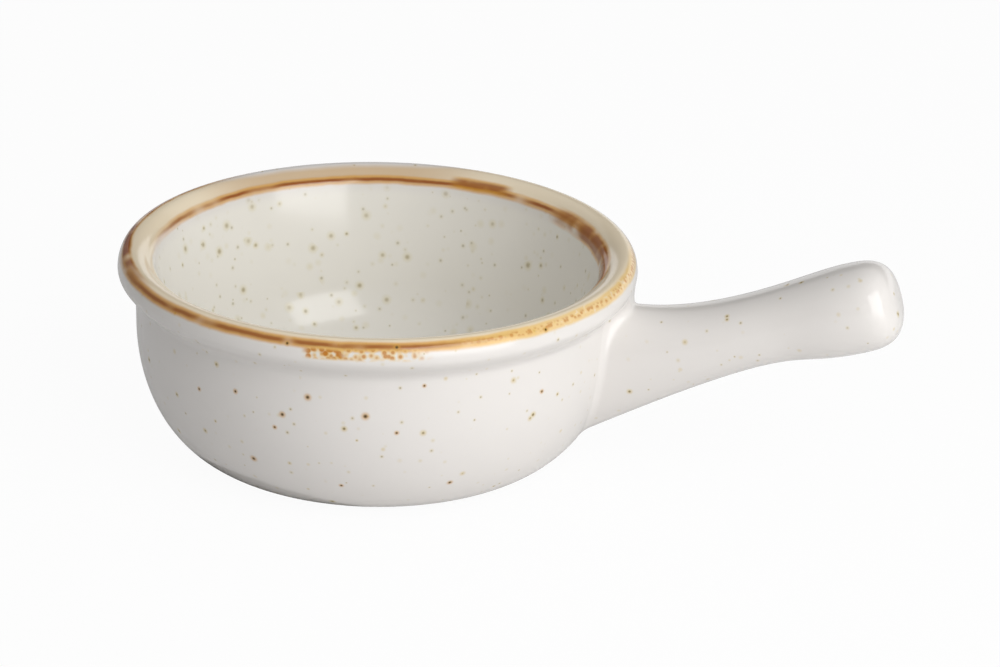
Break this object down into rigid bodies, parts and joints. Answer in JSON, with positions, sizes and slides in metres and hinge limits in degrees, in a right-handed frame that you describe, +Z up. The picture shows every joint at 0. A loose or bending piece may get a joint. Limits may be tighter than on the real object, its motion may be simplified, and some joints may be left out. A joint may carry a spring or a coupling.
{
  "type": "baking dish",
  "caption": "Small round baking dish in speckled glazed stoneware, with a rolled lip, a foot ring and a stub handle that rises to a rounded knob.",
  "frame": {"origin": "on the surface the dish stands on, in the middle of its overall length; the bowl's axis is 30.7 mm towards -X", "axes": "+Z up out of the bowl's mouth, +X along the handle towards its knob"},
  "size_m": [0.1814, 0.12, 0.0554],
  "materials": {
    "speckled_glaze": "glossy off-white glaze with brown iron specks, breaking to brown on the lip's edges",
    "glazed_slip": "slip wiped into a fillet and glazed over with the dish"
  },
  "bodies": {
    "root": {"bowl": "speckled_glaze", "handle": "speckled_glaze", "slip_joint": "glazed_slip"}
  },
  "joints": []
}
